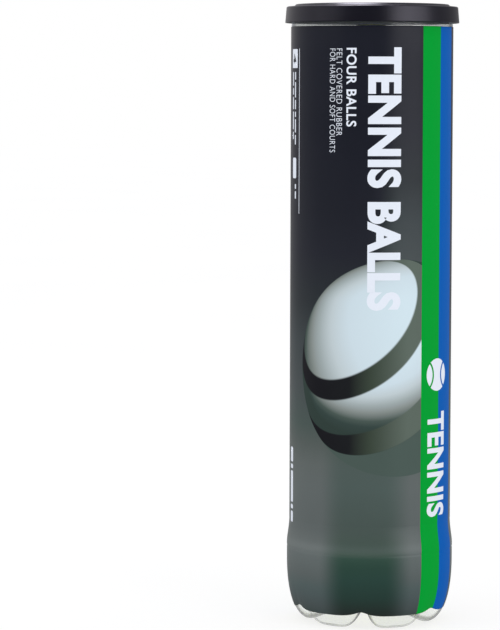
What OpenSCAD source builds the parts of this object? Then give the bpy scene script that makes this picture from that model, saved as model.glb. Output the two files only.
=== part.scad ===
// Clear plastic tennis ball can with a printed sleeve, a ring-pull metal end,
// a press-on lid and four pressurised balls stacked inside.
// Origin: centre of the plane the feet stand on. +Z is up, -Y is the printed front.

/* [Can] */
// Height from the standing plane to the top of the lid
can_height = 284; // [283:0.5:285]
// Outer diameter of the straight wall
body_dia = 74; // [73.6:0.1:74.2]
// Wall thickness of the plastic bottle
wall = 0.5; // [0.4:0.05:0.55]
// How far the band above the feet stands out from the straight wall
bulge = 1.05; // [0.6:0.05:1.3]

/* [Petal base] */
// Number of feet moulded into the base
lobes = 6; // [5:1:7]
// Height at which the round wall turns into the feet
ring_z = 30; // [26:1:31]
// Radius of the circle on which the feet stand
foot_r = 27; // [24:0.5:29]
// Height of the hub in the middle of the base
hub_z = 7.2; // [6:0.1:7.3]
// Compass turn of the first foot from +X, in degrees
lobe_turn = -66; // [-90:1:90]

/* [Sleeve] */
// Thickness of the printed film
film = 0.16; // [0.1:0.02:0.2]
// Gap between the film and the bottle
film_gap = 0.05; // [0.04:0.01:0.08]
// Height at which the film ends below the lid
sleeve_top = 273.7; // [268:0.1:274]
// How much of each valley the film bridges, 1 being all of it
film_bridge = 0.87; // [0.6:0.01:0.95]

/* [Ring-pull end] */
// Thickness of the aluminium
sheet = 0.22; // [0.18:0.01:0.24]
// Radius of the score line along which the panel tears out
score_r = 34.3; // [34:0.1:34.5]
// Length of the pull tab from nose to ring
tab_len = 27; // [24:0.5:30]
// Radius of the finger hole
finger_r = 7.3; // [6:0.1:8]

/* [Lid] */
// Outer radius of the lid's lower edge
lid_r = 39.9; // [39.6:0.1:40.3]
// Thickness of the lid's top
lid_top_t = 0.95; // [0.8:0.05:1.1]

/* [Balls] */
// Outer diameter of a ball
ball_dia = 66.8; // [65.4:0.1:66.8]
// Outer diameter of the rubber core
core_dia = 60.8; // [59:0.2:61]
// Wall thickness of the rubber core
core_wall = 3.4; // [3:0.1:3.8]
// Width of the rubber seam between the felt panels
seam_w = 2; // [1.4:0.1:2.6]

/* [Hidden] */
balls = 4;

$fn = 96;
tiny = 0.04;

// Can
body_r = body_dia / 2;
ring_r = body_r + bulge;
swell_low = ring_z + 5;
swell_high = ring_z + 18;
groove_z = ring_z + 4.3;
groove_depth = 0.1;

// Petal base
around = 84;
side_rows = 9;
under_rows = 7;
sector = 360 / lobes;
petal_power = 0.87;
valley_foot_angle = 43;
valley_narrowness = 5;
pad_r = 2.2;
pad_h = 0.5;
pad_sink = 0.12;
root_h = 1;
film_edge = 49 / 90;
film_rows = 9;

// Double seam and metal end, heights measured down from the top of the seam
seam_top = can_height - 2.5;
fold_z = seam_top - 2.6;
hook_wall = 0.36;
neck_r = 36.7;
neck_low = sleeve_top + 0.5;
neck_z = neck_low + 1.2;
neck_turn_z = seam_top - 1.2;
body_hook_r = 37.42;
body_hook_z = seam_top - 2.5;
chuck_r = 36.33;
cover_r = 37.76;
cover_hook_r = 37.07;
cover_hook_z = seam_top - 1.3;
corner_r = 0.5;
compound_in_r = 36.75;
compound_out_r = 37.35;
compound_gap = 0.06;
panel_z = seam_top - 4.41;
score_gap = 0.05;
countersink_r = 35.7;
countersink_w = 0.8;
countersink_z = panel_z - 1.2;
// Pressed beads of the panel: radius of the middle of each, half widths and depth
bead_radii = [15.6, 31.4];
bead_half = 1.4;
bead_floor = 0.7;
bead_dip = 0.4;

// Pull tab, its nose towards -Y
tab_nose_y = -33;
tab_gap = 0.1;
tab_z = panel_z + sheet / 2 + tab_gap;
tab_sheet = 0.45;
tab_web_z = 0.25;
tab_rim_h = 1.1;
tab_rim_w = 1.1;
nose_w = 9;
shoulder_w = 19.3;
shoulder_back = 3.1;
ring_out_r = 10.4;
ring_y = tab_nose_y + tab_len - ring_out_r;
rivet_y = tab_nose_y + 5.5;
rivet_r = 1.8;
rivet_gap = 0.03;
rivet_head_r = 2.9;
rivet_head_h = 0.45;
rivet_head_gap = 0.05;
tongue_r = 3.4;
tongue_hole_r = 3.95;

// Lid
lid_gap = 0.15;
lid_inner_r = 38.6;
lid_bead_r = 38.05;
lid_bead_z = fold_z - 1.1;
lid_flare = 0.55;
skirt_z = can_height - 8.5;
shoulder_rise = 0.35;
stack_in_r = 34.6;
stack_out_r = 36.1;
fillet = 0.25;
stack_round = 0.3;
shoulder_round = 0.6;

// Balls
ball_r = ball_dia / 2;
core_r = core_dia / 2;
ball_gap = 0.1;
first_ball_z = hub_z + wall + 2 * ball_gap + ball_r;
ball_pitch = ball_dia + ball_gap;
seam_recess = 0.4;
curve_steps = 36;
cap_steps = 4;
// The shapes that cut a ball's shells reach from inside them to outside them
cut_low_r = 20;
cut_high_r = 44;
// Turn of each ball about X, Y and Z
ball_turns = [[24, 38, 15], [-52, 20, 80], [70, -25, 140], [-18, 62, 205]];

// ---------- outlines ----------

function ease(u) = u <= 0 ? 0 : u >= 1 ? 1 : u * u * (3 - 2 * u);

function arc(c, r, from, to, steps) =
    [for (k = [0:steps]) let (a = from + (to - from) * k / steps)
        c + r * [cos(a), sin(a)]];

function heading(a, b) = (b - a) / norm(b - a);
function left_of(v) = [-v[1], v[0]];

// Half-width step from point i of a path to its left edge, mitred at corners
function mitre(p, i) =
    let (last = len(p) - 1,
         before = i > 0 ? heading(p[i - 1], p[i]) : heading(p[0], p[1]),
         after = i < last ? heading(p[i], p[i + 1]) : before,
         m = left_of(before) + left_of(after))
    2 * m / (m * m);

function at(t, i) = is_list(t) ? t[i] : t;

// Outline of sheet material of thickness t, a number or one for each point, along path p
function strip(p, t) = concat(
    [for (i = [0:len(p) - 1]) p[i] + mitre(p, i) * at(t, i) / 2],
    [for (i = [len(p) - 1:-1:0]) p[i] - mitre(p, i) * at(t, i) / 2]);

// Outer radius of the bottle above the feet
function wall_r(z) = body_r + bulge * (1 - ease((z - swell_low) / (swell_high - swell_low)));

// Path up the outside of the bottle, moved out by d, from the feet to height top
function wall_path(d, top) = concat(
    [[ring_r + d, ring_z], [ring_r + d, groove_z - 0.5],
     [ring_r + d - groove_depth, groove_z], [ring_r + d, groove_z + 0.5]],
    [for (k = [0:9]) let (z = swell_low + (swell_high - swell_low) * k / 9)
        [wall_r(z) + d, z]],
    [[body_r + d, top]]);

// ---------- petal base ----------

// How much a direction belongs to a foot: 1 along its middle, 0 along a valley
function foot_weight(a) =
    let (turn = a - lobe_turn + sector / 2,
         off = turn - sector * floor(turn / sector) - sector / 2)
    1 - pow(abs(off) / (sector / 2), valley_narrowness);

// Side of a foot and side of a valley at step u from 0 to 1, set in by t
function foot_side(u, r, t) = [
    foot_r + (r - foot_r - t) * pow(cos(90 * u), petal_power),
    ring_z - (ring_z - pad_sink - t) * pow(sin(90 * u), petal_power)];
function foot_under(u, t) = [
    foot_r * (1 - u),
    pad_sink + t + (hub_z - pad_sink) * (1 - cos(180 * pow(u, 0.8))) / 2];
function valley(angle, r, t) = [
    (r - t) * cos(angle),
    ring_z - (ring_z - hub_z - t) * sin(angle)];

function base_side(u, w, r, t) =
    w * foot_side(u, r, t) + (1 - w) * valley(valley_foot_angle * u, r, t);
function base_under(u, w, r, t) =
    w * foot_under(u, t)
    + (1 - w) * valley(valley_foot_angle + (90 - valley_foot_angle) * u, r, t);

function turned(p, a) = [p[0] * cos(a), p[0] * sin(a), p[1]];
function around_angle(i) = lobe_turn + 360 * i / around;

function base_rows(r, t) = concat(
    [[for (i = [0:around - 1]) turned([r - t, ring_z + root_h], around_angle(i))]],
    [for (j = [0:side_rows]) [for (i = [0:around - 1]) let (a = around_angle(i))
        turned(base_side(j / side_rows, foot_weight(a), r, t), a)]],
    [for (j = [1:under_rows - 1]) [for (i = [0:around - 1]) let (a = around_angle(i))
        turned(base_under(j / under_rows, foot_weight(a), r, t), a)]]);

function flatten(list) = [for (row = list) each row];

// Triangles between each row of points and the next, the first point being number start
function row_faces(rows, start, out) =
    [for (j = [0:rows - 2], i = [0:around - 1]) let (
        a = start + j * around + i,
        b = start + j * around + (i + 1) % around,
        c = a + around,
        d = b + around) each out ? [[a, b, d], [a, d, c]] : [[a, d, b], [a, c, d]]];

// Closed shell between an outer and an inner grid of rows that share a hub or an open edge
module petal_shell(outer, inner, hubs) {
    rows = len(outer);
    grid = rows * around;
    hub = 2 * grid;
    last = (rows - 1) * around;
    rim = [for (i = [0:around - 1]) let (k = (i + 1) % around) each
        [[i, grid + k, k], [i, grid + i, grid + k]]];
    middle = [for (i = [0:around - 1]) let (k = (i + 1) % around) each
        [[last + i, last + k, hub], [grid + last + i, hub + 1, grid + last + k]]];
    edge = [for (i = [0:around - 1]) let (k = (i + 1) % around) each
        [[last + i, last + k, grid + last + k], [last + i, grid + last + k, grid + last + i]]];
    polyhedron(
        points = concat(flatten(outer), flatten(inner), hubs),
        faces = concat(row_faces(rows, 0, true), row_faces(rows, grid, false), rim,
                       len(hubs) > 0 ? middle : edge));
}

module petal_base() {
    inset = wall - 2 * tiny;
    petal_shell(
        base_rows(ring_r - tiny, 0),
        base_rows(ring_r - tiny, inset),
        [[0, 0, hub_z], [0, 0, hub_z + inset]]);
}

module feet_pads() {
    for (i = [0:lobes - 1])
        rotate([0, 0, lobe_turn + sector * i])
            translate([foot_r, 0, 0])
                cylinder(r = pad_r, h = pad_h);
}

// ---------- can ----------

module can_body() {
    neck = concat(
        [[neck_r, neck_z]],
        arc([(neck_r + body_hook_r) / 2, neck_turn_z], (body_hook_r - neck_r) / 2,
            180, 0, 8),
        [[body_hook_r, body_hook_z]]);
    side = wall_path(-wall / 2, neck_low);
    path = concat(side, neck);
    thick = [for (p = path) p[1] > neck_low ? hook_wall : wall];
    color([0.9, 0.93, 0.93, 0.5]) union() {
        rotate_extrude() polygon(strip(path, thick));
        petal_base();
        feet_pads();
    }
}

// The film follows the feet but bridges most of each valley
function film_row(j, out) =
    let (shift = film_gap + (out ? film - tiny : tiny))
    [for (i = [0:around - 1]) let (
        a = around_angle(i),
        w = 1 - (1 - film_bridge) * (1 - foot_weight(a)),
        u = film_edge * j / film_rows,
        p = base_side(u, w, ring_r, 0))
        turned(p + shift * [cos(90 * u), -sin(90 * u)], a)];

function film_rows_list(out) =
    let (shift = film_gap + (out ? film - tiny : tiny))
    concat(
        [[for (i = [0:around - 1]) turned([ring_r + shift, ring_z + root_h], around_angle(i))]],
        [for (j = [0:film_rows]) film_row(j, out)]);

module sleeve() {
    color([0.16, 0.17, 0.2]) union() {
        rotate_extrude()
            polygon(strip(wall_path(film_gap + film / 2, sleeve_top), film));
        petal_shell(film_rows_list(true), film_rows_list(false), []);
    }
}

// Outer part of the metal end: double seam, chuck wall and the rim outside the score
module seam_ring() {
    path = concat(
        [[score_r, panel_z], [countersink_r - countersink_w + 0.1, panel_z]],
        arc([countersink_r, countersink_z + countersink_w / 2], countersink_w / 2,
            180, 360, 8),
        arc([chuck_r + corner_r, seam_top - sheet / 2 - corner_r], corner_r, 180, 90, 6),
        arc([cover_r - corner_r, seam_top - sheet / 2 - corner_r], corner_r, 90, 0, 6),
        arc([(cover_r + cover_hook_r) / 2, fold_z], (cover_r - cover_hook_r) / 2, 0, -180, 8),
        [[cover_hook_r, cover_hook_z]]);
    color("silver") rotate_extrude() polygon(strip(path, sheet));
}

// Ring of sealing compound under the top of the seam
module sealing_compound() {
    low = neck_turn_z + (body_hook_r - neck_r + hook_wall) / 2 + compound_gap;
    high = seam_top - sheet - compound_gap;
    color("darkgray") difference() {
        translate([0, 0, low]) cylinder(r = compound_out_r, h = high - low);
        translate([0, 0, low - 1]) cylinder(r = compound_in_r, h = high - low + 2);
    }
}

// ---------- ring-pull ----------

// Torn-out panel with its pressed beads and the rivet formed from it
module tear_panel() {
    path = concat(
        [[0, panel_z]],
        [for (r = bead_radii) each
            [[r - bead_half, panel_z], [r - bead_floor, panel_z - bead_dip],
             [r + bead_floor, panel_z - bead_dip], [r + bead_half, panel_z]]],
        [[score_r - score_gap, panel_z]]);
    tongue_top = panel_z + sheet / 2 + tab_sheet;
    color("gainsboro") union() {
        rotate_extrude() polygon(strip(path, sheet));
        translate([0, rivet_y, panel_z])
            cylinder(r = rivet_r, h = tongue_top - panel_z + rivet_head_h / 2);
        translate([0, rivet_y, tongue_top + rivet_head_gap])
            cylinder(r = rivet_head_r, h = rivet_head_h);
    }
}

// Island of the tab that the rivet clamps
module tab_tongue() {
    color("lightgray") translate([0, rivet_y, panel_z + sheet / 2]) difference() {
        cylinder(r = tongue_r, h = tab_sheet);
        translate([0, 0, -1]) cylinder(r = rivet_r + rivet_gap, h = tab_sheet + 2);
    }
}

// Outline of the tab seen from above, set in by d
module tab_outline(d) {
    translate([0, ring_y]) circle(r = ring_out_r - d);
    polygon([[d - nose_w / 2, tab_nose_y + d], [nose_w / 2 - d, tab_nose_y + d],
             [shoulder_w / 2 - d, ring_y - shoulder_back],
             [d - shoulder_w / 2, ring_y - shoulder_back]]);
}

// Ring with its curled rims, cut clear round the rivet island
module pull_tab() {
    color("silver") translate([0, 0, tab_z]) difference() {
        union() {
            linear_extrude(tab_rim_h) difference() {
                tab_outline(0);
                tab_outline(tab_rim_w);
            }
            translate([0, ring_y, 0]) cylinder(r = finger_r + tab_rim_w, h = tab_rim_h);
            translate([0, 0, tab_web_z]) linear_extrude(tab_sheet)
                tab_outline(tab_rim_w / 2);
        }
        translate([0, ring_y, -1]) cylinder(r = finger_r, h = tab_rim_h + 2);
        translate([0, rivet_y, -1]) cylinder(r = tongue_hole_r, h = tab_rim_h + 2);
    }
}

// ---------- lid ----------

module lid() {
    under_z = seam_top + lid_gap;
    top_z = under_z + lid_top_t;
    shoulder_z = top_z + shoulder_rise;
    profile = concat(
        [[0, under_z], [lid_inner_r - stack_round, under_z],
         [lid_inner_r, under_z - stack_round]],
        [[lid_inner_r, lid_bead_z + 0.6], [lid_bead_r, lid_bead_z + 0.15],
         [lid_bead_r, lid_bead_z - 0.15], [lid_inner_r, lid_bead_z - 0.8]],
        [[lid_inner_r + lid_flare, skirt_z]],
        arc([lid_r - fillet, skirt_z + fillet], fillet, -90, 0, 4),
        arc([lid_r - 2 * shoulder_round, shoulder_z - shoulder_round], shoulder_round,
            0, 90, 6),
        arc([stack_out_r + fillet, shoulder_z + fillet], fillet, -90, -180, 4),
        arc([stack_out_r - stack_round, can_height - stack_round], stack_round, 0, 90, 4),
        arc([stack_in_r + stack_round, can_height - stack_round], stack_round, 90, 180, 4),
        arc([stack_in_r - fillet, top_z + fillet], fillet, 0, -90, 4),
        [[0, top_z]]);
    color([0.07, 0.07, 0.09]) rotate_extrude() polygon(profile);
}

// ---------- balls ----------

// Closed curve that divides a sphere into two equal interlocking panels
function seam_point(t) =
    let (p = [0.75 * cos(t) + 0.25 * cos(3 * t),
              0.75 * sin(t) - 0.25 * sin(3 * t),
              sqrt(0.75) * sin(2 * t)])
    p / norm(p);

// The same curve drawn in by d degrees towards the panel that holds the +Z pole
function panel_point(t, d) =
    let (along = seam_point(t + 1) - seam_point(t - 1),
         inward = cross(seam_point(t), along))
    cos(d) * seam_point(t) + sin(d) * inward / norm(inward);

function mirrored(p) = [-p[1], -p[0], p[2]];

// Point k of the arc across the panel from p to its mirror image
function across(p, k) =
    let (q = mirrored(p), m = p * (1 - k / cap_steps) + q * k / cap_steps)
    cut_high_r * m / norm(m);

// Cone from the centre of the ball that holds one felt panel, drawn in by d degrees
module panel_cone(d) {
    rows = curve_steps - 1;
    wide = cap_steps + 1;
    step = 180 / curve_steps;
    tip_a = cut_high_r * panel_point(-45, d);
    tip_b = cut_high_r * panel_point(135, d);
    grid = [for (i = [1:rows], k = [0:cap_steps]) across(panel_point(-45 + i * step, d), k)];
    points = concat([[0, 0, 0], tip_a, tip_b], grid);
    function n(i, k) = 3 + (i - 1) * wide + k;
    cap = [for (i = [1:rows - 1], k = [0:cap_steps - 1]) each
        [[n(i, k), n(i + 1, k + 1), n(i, k + 1)], [n(i, k), n(i + 1, k), n(i + 1, k + 1)]]];
    tips = [for (k = [0:cap_steps - 1]) each
        [[1, n(1, k), n(1, k + 1)], [2, n(rows, k + 1), n(rows, k)]]];
    sides = [for (i = [1:rows - 1]) each
        [[0, n(i + 1, 0), n(i, 0)], [0, n(i, cap_steps), n(i + 1, cap_steps)]]];
    ends = [[0, n(1, 0), 1], [0, 1, n(1, cap_steps)],
            [0, 2, n(rows, 0)], [0, n(rows, cap_steps), 2]];
    polyhedron(points = points, faces = concat(cap, tips, sides, ends));
}

function seam_half_angle() = atan(seam_w / 2 / ball_r);

module hollow_ball(r, inner) {
    difference() {
        sphere(r = r);
        sphere(r = inner);
    }
}

module place_ball(i) {
    translate([0, 0, first_ball_z + (i - 1) * ball_pitch])
        rotate(ball_turns[i - 1])
            children();
}

// Half of the rubber core, side +1 or -1
module core_half(i, side) {
    color([0.25, 0.22, 0.2]) place_ball(i) intersection() {
        hollow_ball(core_r, core_r - core_wall);
        translate([-core_dia, -core_dia, side > 0 ? 0 : -2 * core_dia]) cube(2 * core_dia);
    }
}

// One felt panel, the second being the first turned over
module felt_panel(i, flip) {
    color([0.82, 0.9, 0.1]) place_ball(i) rotate([flip ? 180 : 0, 0, 0]) intersection() {
        hollow_ball(ball_r, core_r);
        panel_cone(seam_half_angle());
    }
}

// Ring of four-sided section that runs along the seam, d degrees to each side of it
module seam_band(d) {
    turns = 2 * curve_steps;
    step = 360 / turns;
    corners = [[d, cut_low_r], [d, cut_high_r], [-d, cut_high_r], [-d, cut_low_r]];
    points = [for (i = [0:turns - 1], c = corners) c[1] * panel_point(i * step, c[0])];
    faces = [for (i = [0:turns - 1], k = [0:3]) let (
        a = 4 * i + k,
        b = 4 * i + (k + 1) % 4,
        next_a = 4 * ((i + 1) % turns) + k,
        next_b = 4 * ((i + 1) % turns) + (k + 1) % 4)
        each [[a, next_a, next_b], [a, next_b, b]]];
    polyhedron(points = points, faces = faces);
}

// Rubber seam that fills the gap between the panels, a little below the felt
module ball_seam(i) {
    color([0.93, 0.93, 0.86]) place_ball(i) intersection() {
        hollow_ball(ball_r - seam_recess, core_r);
        seam_band(seam_half_angle());
    }
}

// ---------- what is drawn ----------

can_body();
sleeve();
seam_ring();
sealing_compound();
tear_panel();
tab_tongue();
pull_tab();
lid();
for (i = [1:balls]) {
    core_half(i, 1);
    core_half(i, -1);
    felt_panel(i, false);
    felt_panel(i, true);
    ball_seam(i);
}
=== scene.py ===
"""Tennis ball can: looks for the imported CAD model.

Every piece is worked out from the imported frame's own sizes. Lengths below are in millimetres
until a mesh is made, which turns them into metres.
"""

import math
from contextlib import contextmanager

import bmesh
import bpy
import numpy as np
from mathutils import Euler, Matrix, Vector, noise


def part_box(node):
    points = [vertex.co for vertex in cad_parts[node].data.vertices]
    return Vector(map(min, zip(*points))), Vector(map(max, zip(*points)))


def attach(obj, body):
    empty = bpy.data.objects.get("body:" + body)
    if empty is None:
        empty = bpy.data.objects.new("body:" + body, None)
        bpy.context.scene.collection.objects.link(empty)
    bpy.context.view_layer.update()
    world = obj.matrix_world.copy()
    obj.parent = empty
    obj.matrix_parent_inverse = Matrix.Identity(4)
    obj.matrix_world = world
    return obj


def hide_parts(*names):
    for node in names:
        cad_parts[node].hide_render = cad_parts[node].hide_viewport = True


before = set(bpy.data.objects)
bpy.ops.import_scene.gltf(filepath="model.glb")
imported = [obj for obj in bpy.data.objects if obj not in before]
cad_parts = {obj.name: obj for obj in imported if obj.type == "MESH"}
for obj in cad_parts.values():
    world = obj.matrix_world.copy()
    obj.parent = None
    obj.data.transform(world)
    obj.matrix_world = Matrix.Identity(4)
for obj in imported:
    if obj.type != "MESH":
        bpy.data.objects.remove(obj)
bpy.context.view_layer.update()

MM = 0.001


def low(node):
    """Lowest corner of a CAD node's box, in millimetres."""
    return [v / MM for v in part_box(node)[0]]


def high(node):
    """Highest corner of a CAD node's box, in millimetres."""
    return [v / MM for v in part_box(node)[1]]


# ---------------------------------------------------------------- sizes

CAN_HEIGHT = high("lid")[2]
LID_R = high("lid")[0]
LID_LOW = low("lid")[2]
SLEEVE_TOP = high("sleeve")[2]
SEAM_TOP = high("seam_ring")[2]
RING_R = high("can_body")[0]
BULGE = 1.05
BODY_R = RING_R - BULGE
WALL = 0.5
NECK_WALL = 0.36
NECK_R, HOOK_R = 36.7, 37.42
NECK_Z = SLEEVE_TOP + 0.5
RING_Z = 30.0
FILM = 0.16
FILM_GAP = 0.05
FILM_R = BODY_R + FILM_GAP + FILM

LOBES = 6
LOBE_TURN = -66.0
SECTOR = 360.0 / LOBES
FOOT_R = 27.0
HUB_Z = 7.2
PETAL_POWER = 0.87
UNDER_POWER = 0.8
VALLEY_FOOT_ANGLE = 43.0
VALLEY_NARROWNESS = 5.0
PAD_SINK = 0.12
PAD_FADE = 1.5
FILM_BRIDGE = 0.87
FILM_EDGE = 49.0 / 90.0

SWELL_LOW = RING_Z + 5.0
SWELL_HIGH = RING_Z + 18.0
GROOVE_Z, GROOVE_DEPTH, GROOVE_WIDTH = RING_Z + 4.3, 0.11, 0.35
STEP_Z, STEP_DEPTH, STEP_WIDTH = 39.6, 0.05, 1.2

LID_INNER_R = 38.6
LID_RING_IN, LID_RING_OUT = 34.6, 36.1

# How each ball lies, as turns about X, Y and Z in degrees
BALL_TURNS = [(24, 38, 15), (-52, 20, 80), (70, -25, 140), (-18, 62, 205)]
SEAM_W = 2.0
FELT_THICK = 3.0

# Stripes on the sleeve, as azimuths from the front towards +X, in degrees
GREEN_FROM, GREEN_TO, BLUE_TO = 38.3, 56.6, 76.3
FRONTS = (0.0, 180.0)


# ---------------------------------------------------------------- scene helpers


def srgb(code):
    """Linear colour of a six-digit sRGB code."""
    channels = [int(code[i : i + 2], 16) / 255 for i in (0, 2, 4)]
    return [c / 12.92 if c <= 0.04045 else ((c + 0.055) / 1.055) ** 2.4 for c in channels]


def link_object(name, data):
    """Puts a new object into the scene."""
    obj = bpy.data.objects.new(name, data)
    bpy.context.scene.collection.objects.link(obj)
    return obj


def ride_mesh(name, mesh, body, materials, face_slots=None):
    """Makes a smooth piece of a mesh and rides it on a body."""
    for mat in materials:
        mesh.materials.append(mat)
    if face_slots is not None:
        mesh.polygons.foreach_set("material_index", face_slots)
    mesh.polygons.foreach_set("use_smooth", [True] * len(mesh.polygons))
    mesh.update()
    piece = link_object(name, mesh)
    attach(piece, body)
    return piece


def add_piece(name, points, faces, body, materials, face_slots=None):
    """Makes a piece from points in millimetres."""
    mesh = bpy.data.meshes.new(name)
    mesh.from_pydata([tuple(v * MM for v in p) for p in points], [], faces)
    return ride_mesh(name, mesh, body, materials, face_slots)


def paint(node, mat):
    """Gives a carried-over CAD node its finished material."""
    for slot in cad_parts[node].material_slots:
        slot.material = mat


@contextmanager
def opened(mesh):
    """Opens a mesh as a bmesh and writes it back at the end."""
    bm = bmesh.new()
    bm.from_mesh(mesh)
    yield bm
    bm.to_mesh(mesh)
    bm.free()


def face_outward(piece):
    """Turns the faces of a closed piece outward."""
    with opened(piece.data) as bm:
        bmesh.ops.recalc_face_normals(bm, faces=bm.faces)


def shade_by_angle(piece, degrees):
    """Keeps edges sharper than an angle crisp on an otherwise smooth piece."""
    with opened(piece.data) as bm:
        for edge in bm.edges:
            if len(edge.link_faces) == 2:
                edge.smooth = edge.calc_face_angle() < math.radians(degrees)


def grid_faces(rows, across, closed=True, start=0, flip=False):
    """Quads between rows of points, each row holding the same number of points."""
    faces = []
    last = across if closed else across - 1
    for j in range(rows - 1):
        for i in range(last):
            a = start + j * across + i
            b = start + j * across + (i + 1) % across
            c, d = a + across, b + across
            faces.append((a, c, d, b) if flip else (a, b, d, c))
    return faces


# ---------------------------------------------------------------- materials


class Nodes:
    """The node tree of a material or a world, with short calls to add and join nodes."""

    def __init__(self, owner, output):
        owner.use_nodes = True
        self.owner = owner
        self.tree = owner.node_tree
        self.tree.nodes.clear()
        self.out = self.add(output)

    def add(self, kind, **values):
        node = self.tree.nodes.new("ShaderNode" + kind)
        for key, value in values.items():
            setattr(node, key, value)
        return node

    def join(self, a, b):
        self.tree.links.new(a, b)

    def feed(self, socket, value):
        """Joins a socket to another, or sets it to a plain value or an opaque colour."""
        if isinstance(value, bpy.types.NodeSocket):
            self.join(value, socket)
        elif socket.type == "RGBA":
            socket.default_value = [*value, 1.0]
        else:
            socket.default_value = value

    def math(self, operation, a, b=0.0, c=0.0, clamp=False):
        node = self.add("Math", operation=operation, use_clamp=clamp)
        for socket, value in zip(node.inputs, (a, b, c), strict=False):
            self.feed(socket, value)
        return node.outputs[0]

    def vector(self, operation, a, b):
        node = self.add("VectorMath", operation=operation)
        self.feed(node.inputs[0], a)
        self.feed(node.inputs[1], b)
        return node.outputs["Value" if operation == "DOT_PRODUCT" else "Vector"]

    def split(self, vector=None):
        """The x, y and z of a vector, or else of the object's own coordinates."""
        node = self.add("SeparateXYZ")
        self.join(vector or self.place(), node.inputs[0])
        return node.outputs

    def length(self, a, b):
        """Length of the flat vector (a, b)."""
        squares = [self.math("MULTIPLY", v, v) for v in (a, b)]
        return self.math("SQRT", self.math("ADD", *squares))

    def azimuth(self, x, y):
        """Angle about the can's axis, from the front towards +X."""
        return self.math("ARCTAN2", x, self.math("MULTIPLY", y, -1.0))

    def smooth(self, value, start, end):
        """0 below start, 1 above end and a soft step between."""
        node = self.add("MapRange", interpolation_type="SMOOTHSTEP")
        self.feed(node.inputs["Value"], value)
        node.inputs["From Min"].default_value = start
        node.inputs["From Max"].default_value = end
        return node.outputs[0]

    def ramp(self, value, stops):
        """Colour ramp from a list of (place, sRGB code)."""
        node = self.add("ValToRGB")
        band = node.color_ramp
        while len(band.elements) < len(stops):
            band.elements.new(0.5)
        for element, (place, code) in zip(band.elements, stops, strict=True):
            element.position = place
            element.color = srgb(code) + [1.0]
        self.feed(node.inputs[0], value)
        return node.outputs[0]

    def mix(self, factor, a, b):
        """Mixes two colours."""
        node = self.add("Mix", data_type="RGBA")
        for socket, value in ((0, factor), (6, a), (7, b)):
            self.feed(node.inputs[socket], value)
        return node.outputs[2]

    def mix_shaders(self, factor, a, b):
        node = self.add("MixShader")
        for socket, value in enumerate((factor, a.outputs[0], b.outputs[0])):
            self.join(value, node.inputs[socket])
        return node

    def place(self):
        """The object's own coordinates, in metres."""
        return self.add("TexCoord").outputs["Object"]

    def noise(self, scale, detail=2.0, roughness=0.5, where=None):
        node = self.add("TexNoise")
        self.join(where or self.place(), node.inputs["Vector"])
        node.inputs["Scale"].default_value = scale
        node.inputs["Detail"].default_value = detail
        node.inputs["Roughness"].default_value = roughness
        return node.outputs["Fac"]

    def bump(self, height, strength, distance):
        """Bumped normal, for a relief of a distance in millimetres."""
        node = self.add("Bump")
        self.join(height, node.inputs["Height"])
        node.inputs["Strength"].default_value = strength
        node.inputs["Distance"].default_value = distance * MM
        return node.outputs["Normal"]

    def principled(self, colour, roughness, **values):
        """Adds the shader, with plain values set straight on its sockets."""
        node = self.add("BsdfPrincipled")
        self.feed(node.inputs["Base Color"], colour)
        self.feed(node.inputs["Roughness"], roughness)
        for key, value in values.items():
            self.feed(node.inputs[key.replace("_", " ")], value)
        return node

    def finish(self, shader):
        self.join(shader.outputs[0], self.out.inputs["Surface"])
        return self.owner


def new_material(name):
    return Nodes(bpy.data.materials.new(name), "OutputMaterial")


# The lid is moulded matt up to this radius, with a soft change to satin
MATT_R, MATT_SOFT = LID_RING_IN - 0.4, 0.3
MATT_ROUGH, SATIN_ROUGH = 0.62, 0.28


def lid_plastic():
    """Black moulded polyethylene: satin, matt inside the stacking ring, with a faint grain."""
    n = new_material("lid_plastic")
    grain = n.noise(scale=2600, detail=3)
    cloud = n.noise(scale=60)
    colour = n.mix(cloud, srgb("06060f"), srgb("0a0a17"))
    x, y, _ = n.split()
    satin = n.smooth(n.length(x, y), (MATT_R - MATT_SOFT) * MM, (MATT_R + MATT_SOFT) * MM)
    rough = n.math("MULTIPLY_ADD", satin, SATIN_ROUGH - MATT_ROUGH, MATT_ROUGH)
    rough = n.math("MULTIPLY_ADD", cloud, 0.08, rough)
    return n.finish(n.principled(colour, rough, IOR=1.5, Specular_Tint=(0.9, 0.88, 1.0),
                                 Normal=n.bump(grain, 0.08, 0.04)))


# Specular levels of the printing and of its stripes
PRINT_GLOSS = 0.12
STRIPE_GLOSS = 0.03

# Colour of the film by height in millimetres: where it hangs clear of the balls, paler with
# painted reflection of the pale floor and painted light through its edges, and along the middle
# of each front, where the lowest ball shows through it, darker with painted shade. Both hold a
# painted highlight along the top of the swell, from 35 to 40.
FILM_SIDES_WITH_PAINTED_LIGHT = [
    (4, "36433f"), (10, "454e4f"), (15, "4a5657"), (19, "4e5b5b"), (24, "575f5f"),
    (29, "5c6464"), (33, "5f6767"), (37, "6a7171"), (40, "5f6666"), (45, "5b6262"),
    (65, "5d6464"), (75, "5c6362"), (84, "525a58"), (93, "465350"), (111, "434a4c"),
    (130, "3a4144"), (148, "2b3034"), (171, "23252e"), (190, "1f212a"), (230, "1b1d27"),
    (274, "1d1f29"),
]
FILM_MIDDLE_WITH_PAINTED_LIGHT = [
    (7, "232b28"), (15, "243a34"), (24, "28423b"), (29, "2a443b"), (33, "304a40"),
    (35, "45574f"), (37, "4b5a55"), (40, "44534d"), (45, "46534f"), (65, "4b5956"),
    (75, "4b5855"), (84, "48544f"), (93, "42504c"), (111, "434a4c"), (130, "3a4144"),
    (148, "2b3034"), (171, "23252e"), (190, "1f212a"), (230, "1b1d27"), (274, "1d1f29"),
]
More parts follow.
